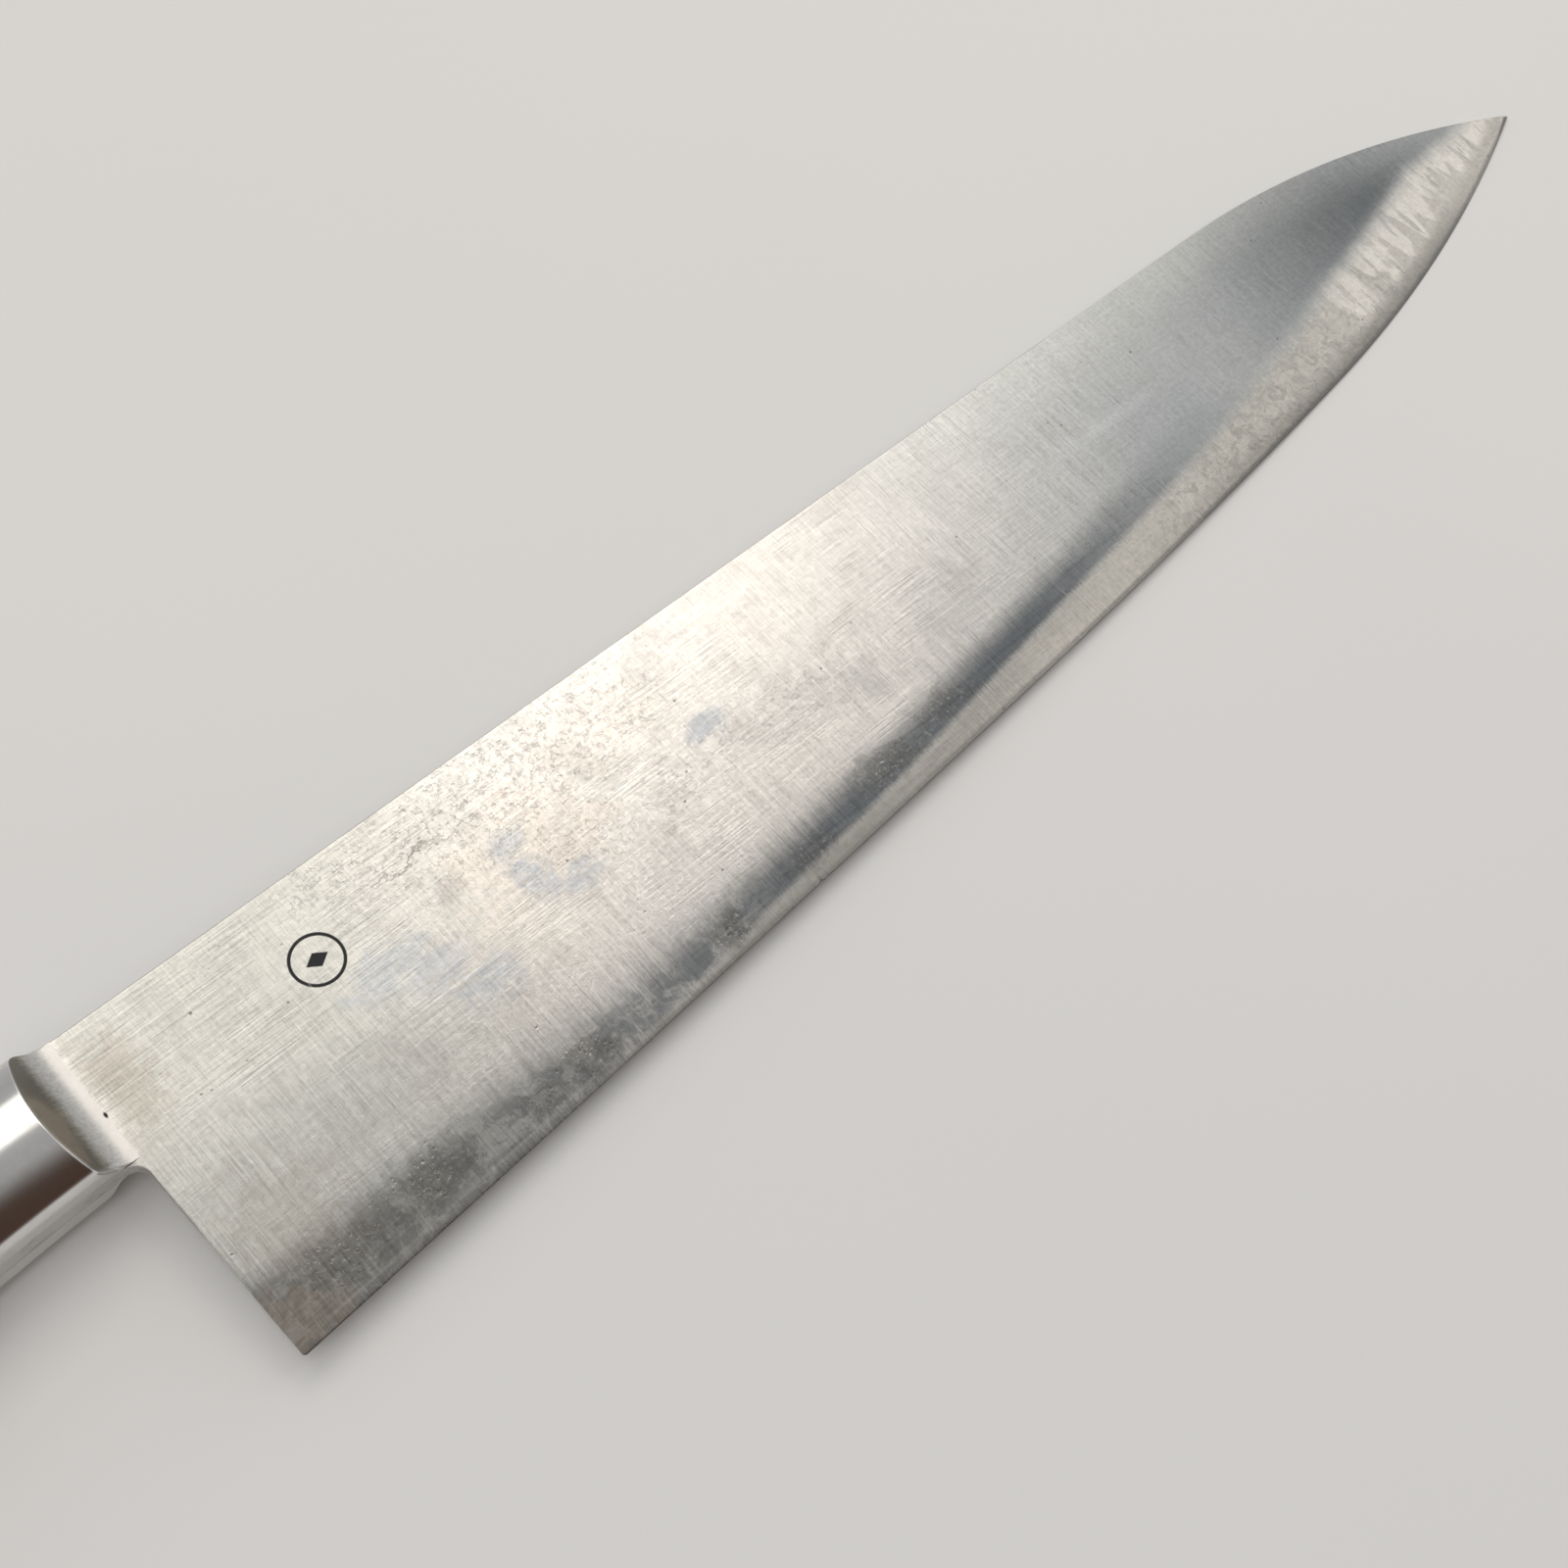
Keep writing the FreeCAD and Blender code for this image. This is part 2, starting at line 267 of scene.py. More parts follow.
def blade_grid():
    """x, y, z of the right side on a grid from the heel to the tip and from the spine to the edge."""
    length = TIP_X - HEEL_LINE_FOOT_X
    nick_from, nick_to = NICK_X - HEEL_LINE_FOOT_X - 0.8, NICK_X - HEEL_LINE_FOOT_X + 0.8
    along = spaced((0, 0.15, 0.04), (0.15, 1.2, 0.15), (1.2, nick_from, 0.7), (nick_from, nick_to, 0.1),
                   (nick_to, 240, 0.7), (240, length - 3, 0.45), (length - 3, length - 0.12, 0.15))
    near_spine = [0, 0.02, 0.05, 0.10, 0.16, 0.23, 0.5]
    flank = spaced((1.5, 17.6, 1.5), (17.6, 21.4, 0.25), (21.4, 34, 1.4), (34, 47.4, 0.75))
    above_edge = [MICRO_BEVEL * times for times in (2, 1.4, 1.1, 0.9, 0.6, 0.3)] + [0.06, 0]
    heel_height = -HEEL_Y

    def depths(height):
        squeeze = np.minimum(1, height / 9)[..., None]
        first = np.array(near_spine) * squeeze
        last = height[..., None] - np.array(above_edge) * squeeze
        share = (flank - near_spine[-1]) / (heel_height - above_edge[0] - near_spine[-1])
        between = first[..., -1:] + share * (last[..., :1] - first[..., -1:])
        return np.concatenate([first, between, last], axis=-1)

    start = heel_boundary(-depths(np.array(heel_height)))
    x = start + (TIP_X - start) * (along / length)[:, None]
    top, bottom = spine_y(x), edge_y(x)
    row = depths(top[:, 0] - bottom[:, 0])
    share = row / row[:, -1:]
    depth = share * (top - bottom)
    z = half_thickness(x, depth, top - bottom)
    from_heel = np.clip(x - start, 0, HEEL_EASE)
    eased = HEEL_EASE - np.sqrt(HEEL_EASE ** 2 - (HEEL_EASE - from_heel) ** 2)
    z = np.maximum(z - eased, EDGE_HALF_LAND * 0.3)
    return np.stack([x, top - depth, z], axis=-1)


def make_blade_points():
    """The blade proper: both sides, a strip over the spine, and strips that close the heel and the tip."""
    right = blade_grid()
    left = mirrored(right)
    across = [0.5, 0.0, -0.5]
    spine = np.stack([right[:, 0] * (1, 1, share) for share in across], axis=1)[:, ::-1]
    rings = np.concatenate([right, left[:, ::-1], spine], axis=1)
    rows = right.shape[1]
    index, faces = tube(rings)
    for ring in (index[0], index[-1]):
        other = ring[:2 * rows][::-1]
        faces += [[ring[i], ring[i + 1], other[i + 1], other[i]] for i in range(rows - 1)]
        faces.append([ring[0], other[0]] + ring[2 * rows:].tolist())
    return rings.reshape(-1, 3), [[int(i) for i in face] for face in faces]


# -------- the handle's shape

def cubic_through(knots_x, knots_y, x):
    """Natural cubic spline through the knots, which are in rising order of x."""
    step = np.diff(knots_x)
    count = len(knots_x)
    system = np.eye(count)
    bend = np.zeros(count)
    for i in range(1, count - 1):
        system[i, i - 1:i + 2] = step[i - 1], 2 * (step[i - 1] + step[i]), step[i]
        bend[i] = 6 * ((knots_y[i + 1] - knots_y[i]) / step[i] - (knots_y[i] - knots_y[i - 1]) / step[i - 1])
    second = np.linalg.solve(system, bend)
    i = np.clip(np.searchsorted(knots_x, x) - 1, 0, count - 2)
    a, b = knots_x[i + 1] - x, x - knots_x[i]
    cubic = (second[i] * a ** 3 + second[i + 1] * b ** 3) / (6 * step[i])
    return (cubic + (knots_y[i] / step[i] - second[i] * step[i] / 6) * a
            + (knots_y[i + 1] / step[i] - second[i + 1] * step[i] / 6) * b)


def handle_at(x):
    """Middle height, half height, half thickness and half flat of the handle at x."""
    rows = STATIONS[::-1]
    top, bottom, half, flat = (cubic_through(rows[:, 0], rows[:, k], x) for k in range(1, 5))
    return (top + bottom) / 2, (top - bottom) / 2, half, flat


def section_circles(x, inset):
    """Crown and corner circles of the section at x, drawn in by inset."""
    middle, b, half, flat = handle_at(x)
    rise = half - flat
    crown_radius = (b ** 2 + rise ** 2) / (2 * rise)
    crown_z = half - crown_radius
    crown_radius, b = crown_radius - inset, b - inset
    corner = np.maximum(CORNER_RADIUS - inset, 0.25)
    corner_y = b - corner
    corner_z = crown_z + np.sqrt((crown_radius - corner) ** 2 - corner_y ** 2)
    return middle, b, crown_z, crown_radius, corner, corner_y, corner_z


def outer_height(x, y):
    """Height of the handle's right side over the middle plane at (x, y)."""
    middle, b, crown_z, crown_radius, corner, corner_y, corner_z = section_circles(x, 0.0)
    off = np.abs(y - middle)
    touch_y = corner_y * crown_radius / (crown_radius - corner)
    crown = crown_z + np.sqrt(crown_radius ** 2 - np.minimum(off, b) ** 2)
    round_part = corner_z + np.sqrt(np.clip(corner ** 2 - np.clip(off - corner_y, 0, None) ** 2, 0, None))
    return np.where(off < touch_y, crown, round_part)


def arc(y, z, radius, angles):
    return np.stack([y + radius * np.cos(angles), z + radius * np.sin(angles)], axis=1)


def section(x, inset, crown_steps=CROWN_STEPS):
    """Outline of the right half at x: from the tang over the spine's flat, the side and the belly's flat."""
    middle, b, crown_z, crown_radius, corner, corner_y, corner_z = section_circles(x, inset)
    turn = math.atan2(corner_z - crown_z, corner_y)
    corner_part = arc(corner_y, corner_z, corner, np.linspace(0, turn, CORNER_STEPS, endpoint=False))
    crown_part = arc(0.0, crown_z, crown_radius, np.linspace(turn, math.pi - turn, crown_steps))
    wall_z = np.linspace(TANG_HALF + SEAM, corner_z, WALL_STEPS, endpoint=False)
    wall = np.stack([np.full(WALL_STEPS, b), wall_z], axis=1)
    foot = np.array([[b - SEAM, TANG_HALF]])
    upper = np.concatenate([foot, wall, corner_part])
    lower = upper[::-1] * (-1, 1)
    outline = np.concatenate([upper, crown_part, lower])
    return np.column_stack([np.full(len(outline), x), outline[:, 0] + middle, outline[:, 1]])


def butt_inset(x):
    """How far the section is drawn in where the butt's edge is rounded over."""
    into = np.clip(BUTT_X + BUTT_ROUNDING - x, 0, BUTT_ROUNDING)
    return BUTT_ROUNDING - math.sqrt(BUTT_ROUNDING ** 2 - into ** 2)


def butt_stations():
    """x stations over the rounded butt, closer together towards its face."""
    return [BUTT_X + BUTT_ROUNDING * (1 - math.sin(math.radians(a))) for a in range(90, 0, -6)]


def make_scale_points():
    stations = butt_stations() + spaced((BUTT_X + BUTT_ROUNDING, BOLSTER_JOINT_X - 0.5, 0.8),
                                        (BOLSTER_JOINT_X - 0.5, BOLSTER_JOINT_X - SEAM, 0.2)).tolist()
    rings = [section(x, butt_inset(x)) for x in stations]
    rings.append(section(BOLSTER_JOINT_X, SEAM))
    return shell(np.array(rings))


def flare_height(x, y):
    """Height of the bolster's concave flare above the middle plane at (x, y)."""
    flank = half_thickness(np.maximum(x, 0.0), np.clip(-y, SPINE_EASE, None), -HEEL_Y)
    return flank + cubic_through(FLARE[:, 0], FLARE[:, 1], np.minimum(x, FLARE[-1, 0]))


def eased_flare(x, y):
    """The flare's height, rounded over at the back and at the belly."""
    middle, b = handle_at(x)[:2]
    height = flare_height(x, y)
    most = np.where(y < middle, FLARE_EASE_BELLY, FLARE_EASE_BACK)
    radius = np.clip(height - TANG_HALF, 0.02, most)
    into = np.clip(radius - (b - np.abs(y - middle)), 0, radius)
    return height - 0.9 * (radius - np.sqrt(radius ** 2 - into ** 2))


def soft_lower(a, b, softness):
    """The lower of a and b, rounded over where they cross."""
    share = np.clip(0.5 + 0.5 * (b - a) / softness, 0, 1)
    return b * (1 - share) + a * share - softness * share * (1 - share)


def make_bolster_points():
    """One cheek: the handle's own section, kept below the flare."""
    stations = spaced((BOLSTER_JOINT_X + SEAM, -8, 0.5), (-8, -6.2, 0.2), (-6.2, -2.8, 0.07),
                      (-2.8, FLARE[-1, 0], 0.12))
    rings = [section(BOLSTER_JOINT_X, SEAM, CHEEK_CROWN_STEPS)]
    rings += [section(x, 0.0, CHEEK_CROWN_STEPS) for x in stations]
    first_corner = WALL_STEPS + 1
    wall = slice(0, first_corner)
    for ring in rings:
        x = ring[0, 0]
        if x < FLARE[0, 0]:
            continue
        for side in (ring, ring[::-1]):
            corner_y, corner_z = side[first_corner, 1:]
            limit = float(eased_flare(x, corner_y))
            floor = min(TANG_HALF, limit - 0.2)
            reach = min(corner_z, limit)
            share = (side[wall, 2] - TANG_HALF) / (corner_z - TANG_HALF)
            side[wall, 2] = floor + share * (reach - floor)
        over = ring[first_corner:-first_corner]
        over[:, 2] = soft_lower(over[:, 2], eased_flare(x, over[:, 1]), RIM_SOFTNESS)
    return shell(np.array(rings))


def make_tang_points():
    """The strip of the forging that shows all round the grip, between the two halves."""
    stations = butt_stations() + spaced((BUTT_X + BUTT_ROUNDING, TANG_FRONT_X, 1.0)).tolist()
    rings = []
    for x in stations:
        middle, b = handle_at(x)[:2]
        b = b - butt_inset(x)
        inner, z = b - SEAM / 2, TANG_HALF - SEAM / 2
        half = [(inner, -TANG_HALF), (b, -z), (b, 0), (b, z), (inner, TANG_HALF), (0, TANG_HALF)]
        outline = half + [(-across, -up) for across, up in half]
        rings.append([(x, middle + across, up) for across, up in outline])
    return shell(np.array(rings))


def turned(x, head, body, segments=72):
    """Points and faces of a solid turned about the handle's cross axis at x. A profile row is a radius and
    a height: over the handle's surface for the head, and over the middle plane for the body."""
    centre_y = float(handle_at(x)[0])
    angles = np.linspace(0, 2 * math.pi, segments, endpoint=False)
    rings = []
    for row, (radius, height) in enumerate(head + body):
        px, py = x + radius * np.cos(angles), centre_y + radius * np.sin(angles)
        surface = [float(outer_height(*at)) if row < len(head) else 0.0 for at in zip(px, py)]
        rings.append(np.stack([px, py, np.array(surface) + height], axis=1))
    return shell(np.array(rings))


def head_profile():
    """Over the ground face of a rivet head and down its side."""
    face = [(radius, 0.0) for radius in (AXIS_HOLE, 0.6, 1.2, 1.8, 2.4, 3.0, 3.5, HEAD_RADIUS - 0.12)]
    return face + [(HEAD_RADIUS - 0.04, -0.02), (HEAD_RADIUS, -0.09)]


def head_seat(x):
    return float(handle_at(x)[2]) - HEAD_DEPTH


def make_socket_points(x):
    """The right half of a rivet: a head with a tube that the pin is pressed into."""
    seat = head_seat(x)
    mouth, floor = -seat + SHANK_GAP, seat - HEAD_WEB
    body = [(HEAD_RADIUS, seat), (SOCKET_RADIUS, seat), (SOCKET_RADIUS, mouth),
            (PIN_RADIUS, mouth), (PIN_RADIUS, floor), (AXIS_HOLE, floor)]
    return turned(x, head_profile(), body)


def make_pin_points(x):
    """The left half of a rivet: a head with a solid pin."""
    seat = head_seat(x)
    far_end = -(seat - HEAD_WEB - SHANK_GAP)
    body = [(HEAD_RADIUS, seat), (PIN_RADIUS, seat), (PIN_RADIUS, far_end + PIN_CHAMFER),
            (PIN_RADIUS - PIN_CHAMFER, far_end), (AXIS_HOLE, far_end)]
    points, faces = turned(x, head_profile(), body)
    return mirrored(points), faces


def cut_rivet_holes(piece, side):
    """Bores a stepped hole through a handle half at each rivet."""
    for name, x in RIVETS:
        seat = head_seat(x)
        well_above = seat + 3 * HEAD_DEPTH
        counterbore = HEAD_RADIUS + HEAD_GAP
        points, faces = turned(x, [], [
            (AXIS_HOLE, well_above), (counterbore, well_above), (counterbore, seat),
            (SCALE_HOLE_RADIUS, seat), (SCALE_HOLE_RADIUS, 0.0), (AXIS_HOLE, 0.0)])
        drill = add_solid(name + "_drill", points * (1, 1, side), faces)
        cut = piece.modifiers.new("rivet_hole", "BOOLEAN")
        cut.operation = "DIFFERENCE"
        cut.solver = "EXACT"
        cut.object = drill
        bpy.context.view_layer.update()
        bored = piece.evaluated_get(bpy.context.evaluated_depsgraph_get())
        mesh = bpy.data.meshes.new_from_object(bored)
        piece.modifiers.clear()
        piece.data = mesh
        bpy.data.objects.remove(drill)
    shade(piece, SHARP)


# -------- shader nodes

class Nodes:
    """Short names for the shader nodes used below. Nearly every method returns an output socket."""

    def __init__(self, tree):
        self.tree = tree

    def add(self, kind, inputs=None, **settings):
        """Makes a node; inputs gives a value or another node's output for some of its sockets."""
        node = self.tree.nodes.new("ShaderNode" + kind)
        for key, value in settings.items():
            setattr(node, key, value)
        for key, value in (inputs or {}).items():
            self.feed(node.inputs[key], value)
        return node

    def feed(self, socket, value):
        if isinstance(value, bpy.types.NodeSocket):
            self.tree.links.new(value, socket)
        else:
            socket.default_value = value

    def math(self, operation, a, b=0.0, clamp=False):
        return self.add("Math", {0: a, 1: b}, operation=operation, use_clamp=clamp).outputs[0]

    def split(self, vector):
        return self.add("SeparateXYZ", {0: vector}).outputs[:]

    def stretch(self, vector, scale, turn=0):
        """The vector scaled along each axis, and turned about z by so many degrees."""
        rotation = (0, 0, math.radians(turn))
        return self.add("Mapping", {"Vector": vector, "Rotation": rotation, "Scale": scale}).outputs[0]

    def noise(self, vector, scale, detail=3.0, roughness=0.5, distortion=0.0):
        values = {"Scale": scale, "Detail": detail, "Roughness": roughness, "Distortion": distortion}
        return self.add("TexNoise", {"Vector": vector, **values}).outputs["Fac"]

    def cells(self, vector, scale):
        """Distance to the nearest of many scattered points."""
        return self.add("TexVoronoi", {"Vector": vector, "Scale": scale}).outputs["Distance"]

    def between(self, value, low, high, out_low=0.0, out_high=1.0):
        """A smooth step from low to high."""
        limits = {"From Min": low, "From Max": high, "To Min": out_low, "To Max": out_high}
        node = self.add("MapRange", {"Value": value, **limits}, interpolation_type="SMOOTHSTEP")
        return node.outputs["Result"]

    def attribute(self, name):
        return self.add("Attribute", attribute_name=name).outputs["Fac"]

    def hill(self, value, centre, half_width):
        """1 at centre, falling smoothly to 0 half_width away."""
        away = self.math("ABSOLUTE", self.math("SUBTRACT", value, centre))
        return self.between(away, 0.0, half_width, 1.0, 0.0)

    def blend(self, factor, a, b, mode="MIX"):
        node = self.add("Mix", {"Factor": factor}, data_type="RGBA", blend_type=mode)
        colour_sockets = [s for s in node.inputs if s.type == "RGBA"]
        for socket, colour in zip(colour_sockets, (a, b)):
            self.feed(socket, colour if isinstance(colour, bpy.types.NodeSocket) else (*colour, 1.0))
        return [s for s in node.outputs if s.type == "RGBA"][0]

    def centred(self, value, gain):
        """A noise value moved to swing about zero."""
        return self.math("MULTIPLY", self.math("SUBTRACT", value, 0.5), gain)

    def chain(self, operation, values):
        result = values[0]
        for value in values[1:]:
            result = self.math(operation, result, value)
        return result

    def total(self, *values):
        return self.chain("ADD", values)

    def product(self, *values):
        return self.chain("MULTIPLY", values)

    def larger(self, *values):
        return self.chain("MAXIMUM", values)

    def weighted(self, *pairs):
        """The sum of values, each times its weight."""
        return self.total(*[self.product(value, weight) for value, weight in pairs])


class Paint(Nodes):
    """A material under construction: self.colour is its colour so far."""

    def __init__(self, name):
        self.material = bpy.data.materials.new(name)
        self.material.use_nodes = True
        super().__init__(self.material.node_tree)
        self.shader = self.tree.nodes["Principled BSDF"]
        self.colour = None

    def paint(self, colour, *strengths):
        """Lays a colour over the colour so far, by the product of the strengths."""
        self.colour = self.blend(self.product(*strengths), self.colour, colour)

    def finish(self, roughness, height, depth, metallic, strength=1.0):
        """Connects the colour, the roughness, the bump (depth in millimetres) and the metallic value."""
        bump = self.add("Bump", {"Height": height, "Distance": depth * MM, "Strength": strength})
        for key, value in (("Base Color", self.colour), ("Metallic", metallic),
                           ("Roughness", roughness), ("Normal", bump.outputs[0])):
            self.feed(self.shader.inputs[key], value)
        return self.material


class KnifePaint(Paint):
    """A material on the knife, with the place on it in the knife's own axes, in millimetres."""

    def __init__(self, name):
        super().__init__(name)
        node = self.add("Mapping", {
            "Vector": self.add("TexCoord").outputs["Object"], "Location": tuple(REST @ ORIGIN),
            "Rotation": (REST_ROLL, REST_PITCH, 0), "Scale": (MM, MM, MM)}, vector_type="TEXTURE")
        self.place = node.outputs[0]
        self.x, self.y, self.z = self.split(self.place)

    def streaks(self, per_mm, turn=0, detail=4.0, roughness=0.6, distortion=0.0, place=None):
        """Noise with its own fineness along each axis, leaning by so many degrees on the knife's side."""
        drawn_out = self.stretch(self.place if place is None else place, per_mm, turn)
        return self.noise(drawn_out, 1.0, detail, roughness, distortion)

    def spot(self, x, y, half_length, half_height, strength=1.0, ragged=None):
        """A soft-edged patch at a place on the side of the knife, in millimetres."""
        dx = self.math("DIVIDE", self.math("SUBTRACT", self.x, x), half_length)
        dy = self.math("DIVIDE", self.math("SUBTRACT", self.y, y), half_height)
        away = self.math("SQRT", self.total(self.product(dx, dx), self.product(dy, dy)))
        if ragged is not None:
            away = self.total(away, ragged)
        return self.between(away, 0.35, 1.0, strength, 0.0)

    def add_pinhole(self):
        """The pinhole at the foot of the bolster's flare, half on the cheek and half on the blade."""
        self.paint((0.02, 0.02, 0.02), self.spot(*PINHOLE))


class BladePaint(KnifePaint):
    """The blade's material, with the heights that add_blade stores at each of its points."""

    def __init__(self, name):
        super().__init__(name)
        self.above_edge = self.attribute("above_edge")
        self.below_spine = self.attribute("below_spine")
        self.above_top = self.attribute("above_band_top")
        self.above_foot = self.attribute("above_band_foot")
        self.cloud = self.noise(self.place, 0.12, 6.0, 0.65, 0.6)
        self.ragged = self.centred(self.noise(self.place, 0.30, 6.0, 0.7, 0.5), 2.4)

    def wander(self, value, times):
        """A place or height made ragged, so that what follows it has no straight border."""
        return self.total(value, self.product(self.ragged, times))

    def patches(self, rows):
        """The strongest of several ragged patches."""
        return self.larger(*[self.spot(*row, self.ragged) for row in rows])


# -------- the blade's steel

# Patches on the blade's sides: x, y, half length, half height, strength
BLUISH_STAINS = [
    (89.5, -17, 4.4, 2.6, 0.75), (58.4, -13.8, 3.6, 3.2, 0.55), (58.6, -20, 3.6, 5, 0.65),
    (63.4, -23.4, 4.6, 2.4, 0.60), (36.5, -17.8, 7.5, 4.2, 0.55), (42, -22, 6, 4.2, 0.55),
    (46, -26.8, 6.5, 3.6, 0.65),
]
GREY_STAINS = [
    (110.6, -24.5, 6, 4.6, 0.26), (99, -22, 13, 6, 0.17), (49, -14, 3.4, 3.4, 0.36),
    (128, -23, 10, 8, 0.16), (25, -28, 26, 7, 0.18),
]
TAN_STAINS = [(4, -9, 6.5, 11, 0.34), (3, -45, 8, 5.5, 0.45), (9, -36, 9, 11, 0.22)]
PEACH_STAINS = [(60, -16, 17, 11, 0.62), (76, -9, 14, 8, 0.30), (50, -24, 12, 7, 0.38)]
ETCHED_PATCHES = [
    (66, -8, 30, 12, 0.9), (40, -4, 14, 5, 0.6), (82, -22, 14, 7, 0.7),
    (104, -22, 14, 7, 0.8), (68, -20, 12, 8, 0.8),
]
PITTED_PATCHES = [
    (12, -42.5, 8, 4, 0.8), (25, -41.5, 9, 4.6, 1), (41, -43, 4, 3, 0.8),
    (48.5, -42.6, 6, 3.8, 1), (73.2, -41, 4.2, 3, 1), (88, -39.5, 5, 2.6, 0.7),
    (105, -36.5, 8, 3.2, 0.9), (117, -34.5, 7, 2.8, 0.7),
]
PINHOLE = (0.62, -11.6, 0.30, 0.62)     # x, y, half length, half height

# The plain device near the heel: its middle, the ring's radius and the lozenge's half length
MARK_X, MARK_Y = 31.0, -11.5
MARK_RING, MARK_LOZENGE = 3.4, 1.6


def grinding_lines(n):
    """Lines from spine to edge, and a second set lengthwise that is stronger towards the heel."""
    patchy = n.noise(n.place, 0.07, 3.0, 0.6)
    cross = n.product(n.centred(n.streaks((3.4, 0.12, 0.1), roughness=0.66), 0.95),
                      n.between(patchy, 0.36, 0.60, 1.15, 0.55),
                      n.between(n.x, 140, 190, 1.0, 0.55))
    up_and_forward = n.total(n.y, n.product(n.x, 0.25))
    along = n.product(n.centred(n.streaks((0.10, 3.2, 0.1), roughness=0.66), 0.95),
                      n.between(patchy, 0.40, 0.62, 0.35, 1.15),
                      n.between(n.x, 110, 190, 1.0, 0.20),
                      n.between(up_and_forward, -22, -12, 0.40, 1.0))
    return cross, along


def paint_flank(n):
    """Greenish at the heel, warm and lighter in the middle and cool towards the tip, where it darkens; the
    lighter middle is partly painted highlight, the darkening at the tip is painted shade, and the lit streak
    is a painted highlight.
    """
    greenish, warm, cool = (0.572, 0.564, 0.520), (0.845, 0.800, 0.745), (0.54, 0.56, 0.565)
    light_patch, dull_patch, by_spine = (0.75, 0.735, 0.70), (0.46, 0.44, 0.41), (0.76, 0.765, 0.72)
    painted_tip_shade, lit_streak = (0.175, 0.188, 0.195), (0.72, 0.73, 0.73)
    # Lighter and warmer in the middle: partly the steel's tone, partly painted highlight
    n.colour = n.blend(n.between(n.total(n.x, n.product(n.y, -0.5)), 30, 85), greenish, warm)
    n.paint(cool, n.between(n.x, 105, 185))
    n.paint(light_patch, n.between(n.noise(n.place, 0.022, 3.0, 0.5, 0.6), 0.35, 0.7, 0.0, 0.35))
    n.paint(dull_patch, n.between(n.cloud, 0.50, 0.66, 0.0, 0.22))
    n.paint(by_spine, n.between(n.wander(n.below_spine, 1.0), 11.0, 1.5),
            n.between(n.x, 120, 165), n.between(n.x, 238, 205), 0.60)
    # Painted shade: the flank darkens towards the tip
    n.paint(painted_tip_shade, n.between(n.x, 185, 238), n.between(n.above_foot, -1.5, 3.5),
            n.between(n.below_spine, -2.0, 10.0, 0.30, 1.0), 0.92)
    # Painted highlight: a lit streak along the flank
    n.paint(lit_streak, n.hill(n.wander(n.y, 0.5), -16.4, 1.9), n.hill(n.x, 169, 17), 0.55)


def paint_band(n):
    """The polished band above the bevel, its dark colour painted shade: strongest halfway along, blotchy
    towards the heel.
    """
    blotches = n.larger(n.between(n.noise(n.place, 0.26, 6.0, 0.7, 0.8), 0.40, 0.56, 0.52, 1.0),
                        n.between(n.x, 55, 85))
    middle = n.product(n.between(n.x, 45, 95, 0.80, 1.0), n.between(n.x, 130, 195, 1.0, 0.0), blotches)
    heel = n.product(n.between(n.x, 22, 6, 0.0, 0.92), blotches)
    band = n.product(n.between(n.wander(n.above_top, 0.55), 2.6, -2.6),
                     n.between(n.wander(n.above_foot, 0.18), -0.9, 0.7), n.larger(middle, heel))
    band_shade_at_heel, band_shade_further_on = (0.205, 0.195, 0.180), (0.150, 0.170, 0.186)
    # Painted shade: the band's dark colour
    n.paint(n.blend(n.between(n.x, 18, 50), band_shade_at_heel, band_shade_further_on), band, 0.90)
    return band


def paint_bevel(n):
    """The bevel below the band: darker at the heel and lighter towards the tip, as painted shade and
    highlight; mottled halfway along, with a thin dark line at the edge, darker towards the edge, and a
    painted highlight line near the heel.
    """
    bevel_shade_by_heel, bevel_highlight_by_tip, mottled = (0.40, 0.385, 0.355), (0.78, 0.735, 0.655), (0.45, 0.44, 0.405)
    edge_dark, dark_towards_edge, edge_line_highlight = (0.22, 0.21, 0.20), (0.20, 0.195, 0.185), (0.62, 0.60, 0.56)
    border = n.product(n.wander(n.above_foot, 0.25), n.between(n.x, 150, 205, 1.0, 0.42))
    on_bevel = n.between(border, 0.9, -1.3)
    # Painted shade at the heel and painted highlight towards the tip
    n.paint(n.blend(n.between(n.x, 100, 165), bevel_shade_by_heel, bevel_highlight_by_tip), on_bevel, 0.85)
    n.paint(mottled, on_bevel, n.between(n.noise(n.place, 0.42, 8.0, 0.72, 1.2), 0.48, 0.58),
            n.between(n.x, 145, 175), n.between(n.x, 215, 240, 0.55, 0.15))
    n.paint(edge_dark, n.hill(n.above_edge, 0.25, 0.75), n.between(n.x, 90, 190, 0.60, 0.90))
    # Darker towards the edge, from the middle to the tip
    n.paint(dark_towards_edge, n.between(n.above_edge, 0.2, 4.2, 1.0, 0.0),
            n.between(n.x, 130, 205), n.between(n.x, 235, 256, 0.72, 0.36))
    # Painted highlight: a thin light line along the edge near the heel
    n.paint(edge_line_highlight, n.hill(n.wander(n.above_edge, 0.1), 1.35, 0.35), n.between(n.x, 66, 46), 0.35)
    return on_bevel


